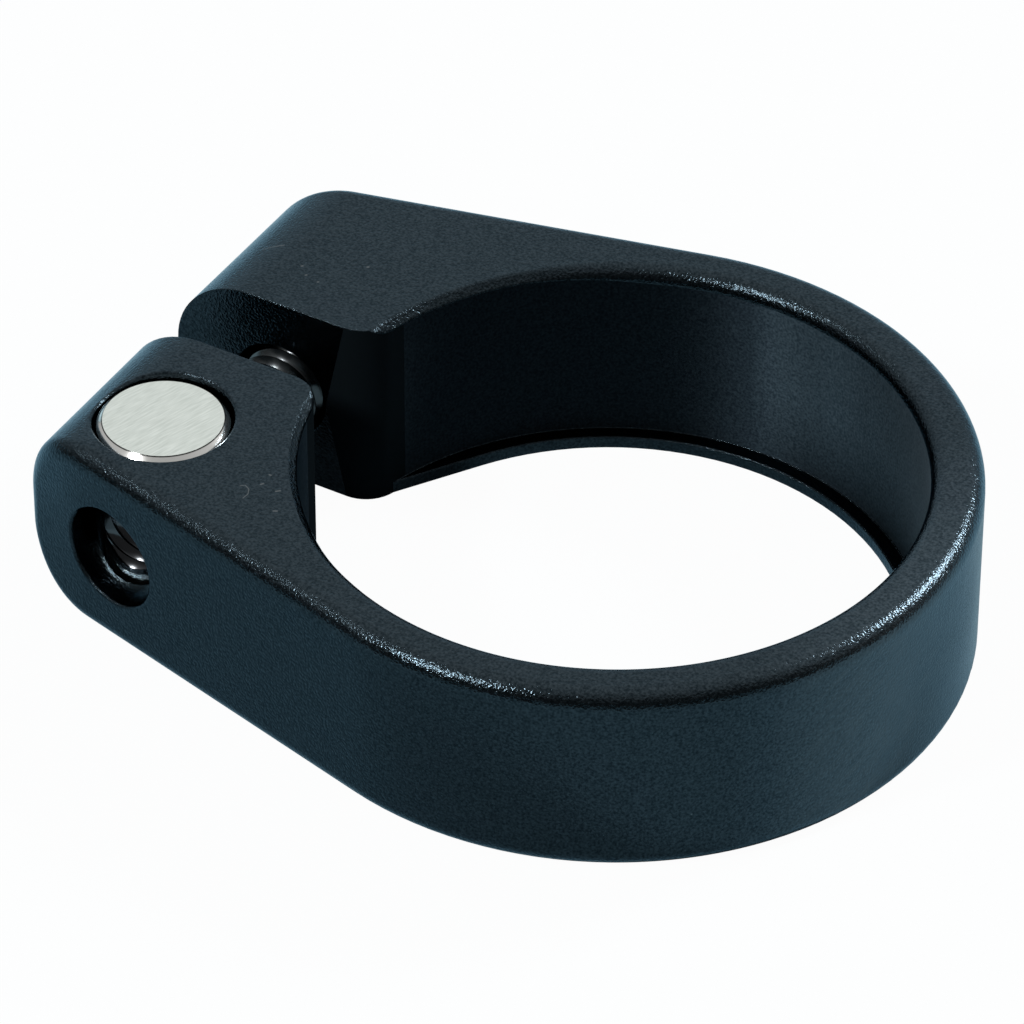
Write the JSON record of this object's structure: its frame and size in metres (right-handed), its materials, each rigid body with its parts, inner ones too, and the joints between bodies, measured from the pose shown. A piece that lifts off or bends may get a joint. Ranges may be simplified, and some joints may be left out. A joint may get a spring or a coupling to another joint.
{
  "type": "seatpost clamp",
  "caption": "Black blasted aluminium seatpost clamp: a split collar with two ears, a steel clamp bolt and a bright barrel nut.",
  "frame": {"origin": "on the bore's axis, at the upper face of the lip where the end of the seat tube stops", "axes": "+Z along the bore, the way the seat tube leaves; -X from the bore towards the ears; Y along the clamp bolt, with its head at +Y"},
  "size_m": [0.0507, 0.0408, 0.0122],
  "materials": {
    "black_anodised": "blasted matt black",
    "bright_steel": "satin, turned",
    "bolt_steel": "satin"
  },
  "bodies": {
    "collar": {"collar": "black_anodised"},
    "nut": {"barrel_nut": "bright_steel"},
    "bolt": {"clamp_bolt": "bolt_steel"}
  },
  "joints": [
    {"name": "nut_pivot", "type": "hinge", "parent": "collar", "child": "nut", "pos_m": [-0.0234, -0.0094, 0.0053], "axis": [0, 0, 1], "range_deg": [-0.9, 0.9]},
    {"name": "bolt_turn", "type": "hinge", "parent": "nut", "child": "bolt", "pos_m": [-0.0234, 0, 0.0053], "axis": [0, 1, 0], "continuous": true}
  ]
}
